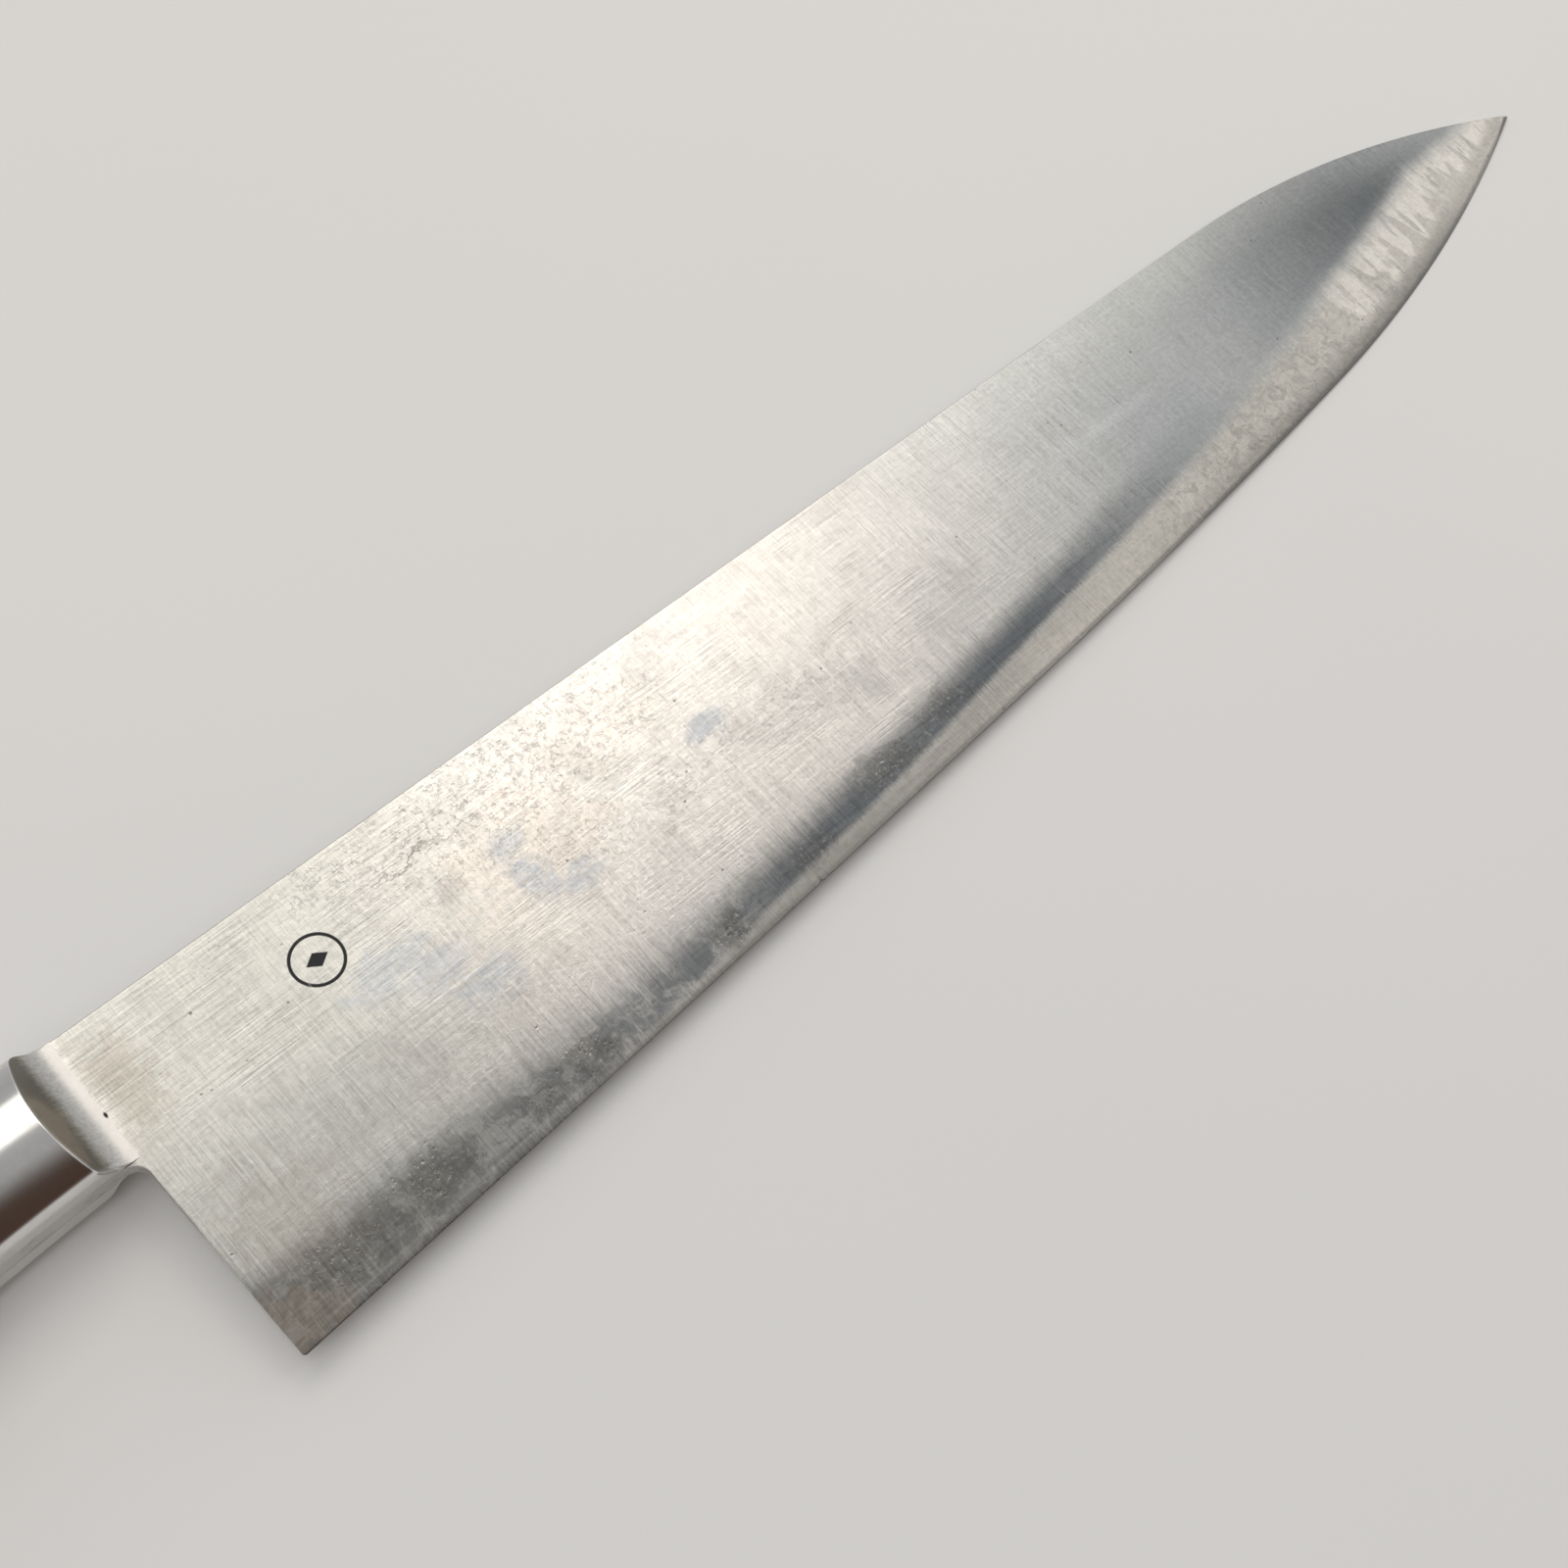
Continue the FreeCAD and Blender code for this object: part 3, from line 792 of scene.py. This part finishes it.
def paint_facets(n, on_bevel):
    """Honed facets near the tip: upright streaks of painted highlight that lean either way, with darker
    slits between.
    """
    light, slit = (1.0, 0.95, 0.87), (0.44, 0.43, 0.405)
    facets = n.product(on_bevel, n.between(n.x, 206, 222), n.between(n.above_edge, 2.0, 4.5))
    taper = n.product(n.above_foot, 0.014)
    for lean, low, high, strength in ((20, 0.43, 0.48, 0.85), (-24, 0.46, 0.50, 0.65)):
        streak = n.total(n.streaks((0.34, 0.075, 0.1), lean, 3.0, 0.5, 0.4), taper)
        # Painted highlight: the light streaks on the honed facets
        n.paint(light, facets, n.between(streak, low, high), strength)
    n.paint(slit, facets, n.between(n.streaks((0.55, 0.09, 0.1), 12, 3.0, 0.5, 0.4), 0.42, 0.36), 0.55)


def paint_stains(n):
    """Bluish, grey, tan and peach stains. Returns where the first three are."""
    bluish, grey, tan = n.patches(BLUISH_STAINS), n.patches(GREY_STAINS), n.patches(TAN_STAINS)
    broken = n.between(n.noise(n.place, 0.65, 4.0, 0.6, 1.0), 0.40, 0.56, 0.45, 1.0)
    n.paint((0.60, 0.63, 0.675), bluish, broken)
    n.paint((0.40, 0.405, 0.40), grey)
    n.paint((0.47, 0.39, 0.31), tan)
    not_bluish = n.math("SUBTRACT", 1.0, n.product(bluish, broken, 1.6), True)
    n.paint((0.80, 0.70, 0.605), n.patches(PEACH_STAINS), not_bluish, 0.62)
    return n.larger(tan, bluish, grey)


def paint_foot_shine(n):
    """Painted highlight: the light brushed strip where the bolster's flare runs out onto the blade."""
    brushed = n.total(n.x, n.centred(n.streaks((0.35, 2.4, 0.5), roughness=0.7), 5.0))
    n.paint((0.90, 0.86, 0.80), n.between(brushed, 3.2, -1.2), n.between(n.y, -18.5, -17.0), 0.70)


def paint_etching(n, on_bevel):
    """Etched squiggles, and one branching vein. Returns where they are."""
    worm = n.math("ABSOLUTE", n.centred(n.noise(n.stretch(n.place, (1, 1, 0.1)), 1.15, 3.0, 0.6, 0.9), 1.0))
    thread = n.product(n.between(worm, 0.012, 0.034, 1.0, 0.0),
                       n.between(n.noise(n.place, 0.9, 2.0), 0.48, 0.55))
    low_down = n.product(on_bevel, n.between(n.x, 160, 180), n.between(n.x, 205, 225, 0.9, 0.0))
    squiggles = n.product(thread, n.larger(n.patches(ETCHED_PATCHES), low_down))
    n.paint((0.26, 0.235, 0.205), squiggles, 0.16)
    bent = n.total(n.y, n.centred(n.noise(n.place, 0.22, 4.0, 0.6), 9.0))
    vein = n.product(n.between(n.math("ABSOLUTE", n.total(bent, 8.0)), 0.08, 0.30, 1.0, 0.0),
                     n.hill(n.x, 48, 11))
    n.paint((0.30, 0.27, 0.24), vein, 0.60)
    return squiggles, vein


def paint_pitting(n):
    """Dark pitted patches with bright specks, partly a frosty texture and partly painted glints, and stray
    pits elsewhere. Returns where the pits are.
    """
    ground, hole = (0.175, 0.165, 0.15), (0.10, 0.095, 0.085)
    frost_and_glint, stray_pit = (0.66, 0.65, 0.62), (0.16, 0.14, 0.12)
    flat = n.stretch(n.place, (1.0, 1.0, 0.02))
    patches = n.patches(PITTED_PATCHES)
    pits = n.product(n.between(n.cells(flat, 1.5), 0.20, 0.42, 1.0, 0.0),
                     n.between(n.noise(n.place, 0.9, 3.0), 0.42, 0.55), patches)
    n.paint(ground, patches, 0.50)
    n.paint(hole, pits, 0.65)
    frost = n.between(n.noise(n.stretch(n.place, (1.0, 1.0, 0.1)), 1.7, 4.0, 0.7, 0.8), 0.58, 0.64)
    glints = n.between(n.cells(n.stretch(n.place, (0.9, 1.5, 0.02)), 0.95), 0.08, 0.24, 1.0, 0.0)
    # Bright specks: a frosty texture and painted glints
    n.paint(frost_and_glint, n.larger(n.product(frost, 0.55), n.product(glints, 0.8)), patches)
    stray = n.product(n.between(n.cells(flat, 0.28), 0.035, 0.075, 1.0, 0.0), n.between(n.cloud, 0.45, 0.55))
    n.paint(stray_pit, stray, 0.7)
    return pits, stray


def paint_mark(n):
    """A small plain device on the right side only: a lozenge in a ring. Returns where it is."""
    dx, dy = n.math("SUBTRACT", n.x, MARK_X), n.math("SUBTRACT", n.y, MARK_Y)
    away = n.math("SQRT", n.total(n.product(dx, dx), n.product(dy, dy)))
    ring = n.between(n.math("ABSOLUTE", n.math("SUBTRACT", away, MARK_RING)), 0.15, 0.26, 1.0, 0.0)
    diamond = n.total(n.math("ABSOLUTE", dx), n.product(n.math("ABSOLUTE", dy), 1.5))
    lozenge = n.between(diamond, MARK_LOZENGE - 0.1, MARK_LOZENGE + 0.1, 1.0, 0.0)
    mark = n.product(n.larger(ring, lozenge), n.between(n.z, 0.2, 0.4))
    n.paint((0.016, 0.016, 0.018), mark)
    return mark


def blade_steel():
    """Satin-ground carbon steel: hairlines both ways, thin patina, stains, pitting and honed facets, with
    painted shade and highlights on the flank, band, bevel and foot.
    """
    n = BladePaint("blade_steel")
    cross, along = grinding_lines(n)
    paint_flank(n)
    band = paint_band(n)
    on_bevel = paint_bevel(n)
    paint_facets(n, on_bevel)
    stained = paint_stains(n)
    paint_foot_shine(n)
    squiggles, vein = paint_etching(n, on_bevel)
    pits, stray = paint_pitting(n)
    n.add_pinhole()
    mark = paint_mark(n)

    # Hairlines, grit and a fine lichen-like etch lighten and darken all of it
    quiet = n.between(n.larger(on_bevel, band), 0.0, 1.0, 1.0, 0.65)
    lichen = n.centred(n.noise(n.stretch(n.place, (1, 1, 0.2)), 0.95, 5.0, 0.62, 1.6), 1.0)
    etched = n.product(lichen, n.between(n.x, 20, 48), n.between(n.x, 120, 95),
                       n.between(on_bevel, 0.0, 1.0, 1.0, 0.5))
    grit = n.centred(n.noise(n.place, 1.5, 5.0, 0.75), 0.9)
    striae = n.centred(n.streaks((0.03, 1.9, 0.1), detail=3.0), 0.9)
    tone = n.total(1.0, n.product(cross, quiet, 1.15), n.product(along, quiet, 1.05),
                   n.product(striae, band, 0.9), n.weighted((grit, 0.75), (etched, 0.28), (lichen, 0.14)))
    grey = n.add("CombineColor", {0: tone, 1: tone, 2: tone})
    n.colour = n.blend(1.0, n.colour, grey.outputs[0], "MULTIPLY")
    deep = n.between(n.streaks((1.9, 0.09, 0.1), 3, 3.0, 0.55), 0.66, 0.74)
    n.paint((0.90, 0.89, 0.87), deep, 0.16)

    n.shader.inputs["Anisotropic"].default_value = 0.75
    tangent = n.add("Tangent", direction_type="UV_MAP", uv_map="grain")
    n.feed(n.shader.inputs["Tangent"], tangent.outputs[0])
    bare = n.math("SUBTRACT", 1.0, n.product(n.larger(mark, n.product(pits, 0.5)), 0.85))
    roughness = n.total(0.25, n.weighted((n.cloud, 0.12), (band, -0.05), (stained, 0.12), (pits, 0.2),
                                         (mark, 0.25), (cross, 0.25)))
    height = n.weighted((cross, 2.2), (along, 2.0), (grit, 0.9), (n.cloud, 1.0), (etched, 1.4), (mark, -3.0),
                        (pits, -2.2), (squiggles, -1.4), (vein, -1.2), (deep, -0.5), (stray, -1.5))
    return n.finish(roughness, height, STEEL_RELIEF, bare)


# -------- the handle's materials and the floor

def bolster_steel():
    """Mirror-polished sides with fine wipe marks; the flare is left satin, with painted shade towards its
    rim, painted highlights at its foot and along the rim, and a brown patch.
    """
    n = KnifePaint("bolster_steel")
    polished, smeared = (0.74, 0.73, 0.71), (0.66, 0.645, 0.62)
    satin_light, satin_dark = (0.60, 0.59, 0.565), (0.46, 0.45, 0.43)
    shaded_top, foot_highlight, brown_patch = (0.16, 0.15, 0.125), (0.86, 0.835, 0.79), (0.43, 0.37, 0.30)
    on_flare = n.attribute("on_flare")
    cloud = n.noise(n.place, 0.35, 5.0, 0.6, 0.5)
    fine = n.noise(n.place, 2.4, 5.0, 0.7)
    brushed = n.total(n.x, n.centred(n.streaks((0.5, 3.0, 0.5), roughness=0.65), 1.6))

    n.colour = n.blend(n.between(fine, 0.4, 0.68), satin_light, satin_dark)
    # Painted shade on the flare towards its rim
    n.paint(shaded_top, n.between(brushed, -2.1, -3.7, 0.0, 0.92))
    # Painted highlight at the flare's foot
    n.paint(foot_highlight, n.between(brushed, -2.2, -0.1, 0.0, 0.80))
    # A brown patch on the flare near its rim
    n.paint(brown_patch, n.spot(-4.6, -11.0, 1.8, 6.0, 0.6, n.centred(cloud, 1.5)))
    sides = n.blend(n.between(cloud, 0.4, 0.7, 0.0, 0.5), polished, smeared)
    n.colour = n.blend(on_flare, sides, n.colour)
    # Painted highlight along the rim between the polished sides and the flare
    n.paint((0.86, 0.85, 0.82), n.between(on_flare, 0.70, 0.25), n.between(on_flare, 0.02, 0.2))
    n.add_pinhole()

    wipe = n.streaks((0.25, 4.0, 4.0), 8, roughness=0.65)
    grind = n.streaks((0.5, 5.0, 0.5))
    roughness = n.total(0.09, n.product(on_flare, fine, 0.12),
                        n.weighted((cloud, 0.07), (wipe, 0.05), (on_flare, 0.22)))
    height = n.total(n.product(on_flare, fine, 0.9), n.product(on_flare, grind, 0.7),
                     n.weighted((wipe, 0.10), (cloud, 0.25)))
    return n.finish(roughness, height, STEEL_RELIEF, metallic=1.0)


def tang_steel():
    """Ground smooth with the handle, with polishing lines along it."""
    n = KnifePaint("tang_steel")
    lines = n.streaks((0.06, 4.0, 5.0))
    cloud = n.noise(n.place, 0.2, 5.0, 0.6, 0.3)
    n.colour = n.blend(n.between(cloud, 0.45, 0.7), (0.62, 0.61, 0.585), (0.45, 0.43, 0.40))
    roughness = n.total(0.2, n.weighted((lines, 0.15), (cloud, 0.1)))
    return n.finish(roughness, n.weighted((lines, 0.6), (cloud, 1.0)), STEEL_RELIEF, metallic=1.0)


def handle_wood():
    """Dark resin-stabilised wood: fine straight grain with pores, darker where hands have been."""
    n = KnifePaint("handle_wood")
    dark, brown = (0.040, 0.016, 0.010), (0.125, 0.047, 0.025)
    streak_tone, fibre_tone = (0.185, 0.078, 0.040), (0.026, 0.011, 0.008)
    pore_tone, worn_tone = (0.012, 0.006, 0.005), (0.16, 0.085, 0.055)
    warped = n.noise(n.place, 0.035, 2.0, 0.5)
    shift = n.add("CombineXYZ", {"Y": n.product(warped, 9.0), "Z": n.product(warped, 5.0)})
    bent = n.add("VectorMath", {0: n.place, 1: shift.outputs[0]}, operation="ADD").outputs[0]
    rings = n.streaks((0.010, 0.42, 0.30), 0, 3.0, 0.55, 0.4, bent)
    fibre = n.streaks((0.05, 3.6, 3.6), place=bent)
    pores = n.between(n.streaks((0.16, 5.5, 5.5), 0, 2.0, 0.5, place=bent), 0.60, 0.68)
    streak = n.streaks((0.008, 1.1, 0.9), 0, 3.0, place=bent)
    worn = n.between(n.noise(n.place, 0.06, 4.0, 0.6), 0.52, 0.72, 0.0, 0.25)

    n.colour = n.blend(n.between(rings, 0.36, 0.64), dark, brown)
    n.paint(streak_tone, n.between(streak, 0.50, 0.68, 0.0, 0.55))
    n.paint(fibre_tone, n.between(fibre, 0.45, 0.75, 0.0, 0.40))
    n.paint(pore_tone, pores, 0.75)
    n.paint(worn_tone, worn)
    n.shader.inputs["Coat Weight"].default_value = 0.35
    n.shader.inputs["Coat Roughness"].default_value = 0.16
    roughness = n.total(0.30, n.weighted((fibre, 0.16), (pores, 0.2), (worn, 0.3)))
    height = n.weighted((fibre, 0.5), (pores, -1.2), (rings, 0.6))
    return n.finish(roughness, height, WOOD_RELIEF, metallic=0.0)


def rivet_steel():
    """Rivet heads ground flush and buffed along the handle, with a few deeper scratches."""
    n = KnifePaint("rivet_steel")
    lines = n.streaks((0.18, 5.0, 0.5), 6, roughness=0.65)
    scratch = n.between(n.streaks((0.25, 2.8, 0.3), -28, 2.0, 0.5), 0.66, 0.69)
    cloud = n.noise(n.place, 0.5, 5.0, 0.6, 0.3)
    n.colour = n.blend(n.between(cloud, 0.42, 0.7), (0.70, 0.69, 0.665), (0.55, 0.53, 0.50))
    n.paint((0.88, 0.87, 0.85), scratch, 0.4)
    roughness = n.total(0.17, n.weighted((lines, 0.16), (cloud, 0.08)))
    height = n.weighted((lines, 0.7), (scratch, -0.8), (cloud, 1.0))
    return n.finish(roughness, height, STEEL_RELIEF, metallic=1.0)


def floor_paint():
    """Pale matt backdrop paper with a faint tooth."""
    n = Paint("floor_paint")
    place = n.add("TexCoord").outputs["Object"]
    n.colour = n.blend(n.between(n.noise(place, 3.0), 0.35, 0.7), (0.80, 0.79, 0.77), (0.77, 0.76, 0.745))
    n.shader.inputs["Specular IOR Level"].default_value = 0.1
    return n.finish(1.0, n.noise(place, 900.0), PAPER_RELIEF, metallic=0.0, strength=0.4)


# -------- build the knife

def store(piece, name, values):
    """Keeps a value at each vertex, for the material to read."""
    layer = piece.data.attributes.new(name, "FLOAT", "POINT")
    layer.data.foreach_set("value", np.asarray(values, np.float32))


def own_points(piece):
    """The piece's vertices in the knife's axes, in millimetres."""
    co = np.array([v.co for v in piece.data.vertices])
    return (co @ REST - ORIGIN) / MM


def add_blade(steel, tang):
    """The blade with its tang, one piece of metal with a ground finish in front and a smooth one behind."""
    blade_points, blade_faces = make_blade_points()
    tang_points, tang_faces = make_tang_points()
    faces = blade_faces + [[i + len(blade_points) for i in face] for face in tang_faces]
    piece = add_piece("knife_blade", np.concatenate([blade_points, tang_points]), faces,
                      "blade_steel", "blade", [steel, tang], SHARP_BLADE)
    points = own_points(piece)
    x = np.clip(points[:, 0], 0, TIP_X - 0.01)
    above = np.maximum(points[:, 1] - edge_y(x), 0)
    store(piece, "above_edge", above)
    store(piece, "below_spine", spine_y(x) - points[:, 1])
    store(piece, "above_band_top", above - np.interp(x, *zip(*BAND_TOP)))
    store(piece, "above_band_foot", above - np.interp(x, *zip(*BAND_FOOT)))
    grain = piece.data.uv_layers.new(name="grain")
    corner = np.zeros(len(piece.data.loops), np.int32)
    piece.data.loops.foreach_get("vertex_index", corner)
    grain.data.foreach_set("uv", (points[corner][:, :2] / GRAIN_SPAN + 0.5).astype(np.float32).ravel())
    behind_heel = [points[list(face.vertices), 0].mean() < -0.05 for face in piece.data.polygons]
    piece.data.polygons.foreach_set("material_index", np.array(behind_heel, np.int32))


def add_cheeks(steel):
    points, faces = make_bolster_points()
    for side, sign in SIDES:
        cheek = add_piece(side + "_bolster_cheek", points * (1, 1, sign), faces,
                          "bolster_steel", side + "_bolster", [steel])
        here = own_points(cheek)
        flare = flare_height(np.maximum(here[:, 0], FLARE[0, 0]), here[:, 1])
        above_flare = (np.abs(here[:, 2]) - flare) / RIM_SOFTNESS
        store(cheek, "on_flare", ease(above_flare + 1.1) * (here[:, 0] > FLARE[0, 0]))


def add_scales(wood):
    points, faces = make_scale_points()
    for side, sign in SIDES:
        half = add_piece(side + "_handle_half", points * (1, 1, sign), faces,
                         "handle_wood", side + "_scale", [wood])
        cut_rivet_holes(half, sign)


def add_rivets(steel):
    for name, x in RIVETS:
        for half, make_points in (("socket", make_socket_points), ("pin", make_pin_points)):
            add_piece(f"{name}_{half}_half", *make_points(x), "rivet_steel", f"{name}_rivet_{half}", [steel])


# -------- stage

FLOOR_HALF = 4.0
DARK_SIDE = (-0.20, -0.72, 0.62)     # the unlit side of the studio, which the polished steel half mirrors
DARK_TONE, PALE_TONE = (0.16, 0.10, 0.075), (0.965, 0.97, 0.98)

# Soft boxes: direction from the middle of the knife, size, radiance and colour
SOFTBOXES = {
    "key": ((0.16, 0.44, 0.88), (0.90, 0.54), 1.25, (1.0, 0.96, 0.90)),
    "key_core": ((0.42, 0.34, 0.85), (0.26, 0.34), 0.75, (1.0, 0.94, 0.86)),
    "bevel_light": ((0.68, -0.13, 0.72), (0.50, 0.18), 1.35, (1.0, 0.95, 0.88)),
    "flare_light": ((0.93, 0.05, 0.30), (0.45, 0.26), 0.95, (1.0, 0.98, 0.95)),
}

# The camera looks at this point from this direction, as in the photograph
CAMERA_AIM = (0.02307, -0.00642, 0.005)
CAMERA_AZIMUTH, CAMERA_ELEVATION, CAMERA_ROLL = -46.2, 59.92, 3.76
CAMERA_DISTANCE = 0.2822
CAMERA_LENS = 49.64


def add_floor():
    corners = [(x * FLOOR_HALF, y * FLOOR_HALF, 0) for x, y in ((-1, -1), (1, -1), (1, 1), (-1, 1))]
    mesh = bpy.data.meshes.new("floor")
    mesh.from_pydata(corners, [], [(0, 1, 2, 3)])
    mesh.materials.append(floor_paint())
    add_object("floor", mesh)


def add_softbox(name, towards, size, radiance, colour):
    """A rectangular light one metre away in the direction given, with its first side along x."""
    light = bpy.data.lights.new(name, "AREA")
    light.shape = "RECTANGLE"
    light.size, light.size_y = size
    light.energy = radiance * math.pi * size[0] * size[1]
    light.color = colour
    box = add_object(name, light)
    away = Vector(towards).normalized()
    sideways = (Vector((1, 0, 0)) - away * away.x).normalized()
    facing = Matrix((sideways, away.cross(sideways), away)).transposed().to_4x4()
    box.matrix_world = Matrix.Translation(away) @ facing
    box.visible_camera = False


def add_overhead():
    """Broad soft light from above, which the steel doesn't mirror."""
    sun = bpy.data.lights.new("overhead", "SUN")
    sun.energy = 0.86
    sun.angle = math.radians(50)
    overhead = add_object("overhead", sun)
    overhead.rotation_euler = (math.radians(12), math.radians(-20), 0)
    overhead.visible_glossy = False


def add_surroundings():
    """An even pale studio, dark on one side, and paler towards the horizon, where the floor meets it."""
    world = bpy.data.worlds.new("studio")
    bpy.context.scene.world = world
    world.use_nodes = True
    n = Nodes(world.node_tree)
    direction = n.add("TexCoord").outputs["Generated"]
    dark_side = Vector(DARK_SIDE).normalized()
    facing = n.add("VectorMath", {0: direction, 1: dark_side}, operation="DOT_PRODUCT")
    background = n.tree.nodes["Background"]
    tone = n.blend(n.between(facing.outputs["Value"], 0.70, 0.90), PALE_TONE, DARK_TONE)
    n.feed(background.inputs["Color"], tone)
    n.feed(background.inputs["Strength"], n.between(n.split(direction)[2], 0.10, 0.60, 0.64, 0.45))


def add_camera():
    azimuth, elevation = math.radians(CAMERA_AZIMUTH), math.radians(CAMERA_ELEVATION)
    level = math.cos(elevation)
    back = Vector((math.sin(azimuth) * level, -math.cos(azimuth) * level, math.sin(elevation)))
    data = bpy.data.cameras.new("camera")
    data.lens = CAMERA_LENS
    data.clip_start = 0.01
    camera = add_object("camera", data)
    place = Matrix.Translation(Vector(CAMERA_AIM) + back * CAMERA_DISTANCE)
    upright = back.to_track_quat("Z", "Y").to_matrix().to_4x4()
    camera.matrix_world = place @ upright @ Matrix.Rotation(math.radians(CAMERA_ROLL), 4, "Z")
    bpy.context.scene.camera = camera


add_blade(blade_steel(), tang_steel())
add_cheeks(bolster_steel())
add_scales(handle_wood())
add_rivets(rivet_steel())
add_floor()
for light_name, settings in SOFTBOXES.items():
    add_softbox(light_name, *settings)
add_overhead()
add_surroundings()
add_camera()
bpy.context.scene.view_settings.view_transform = "Standard"
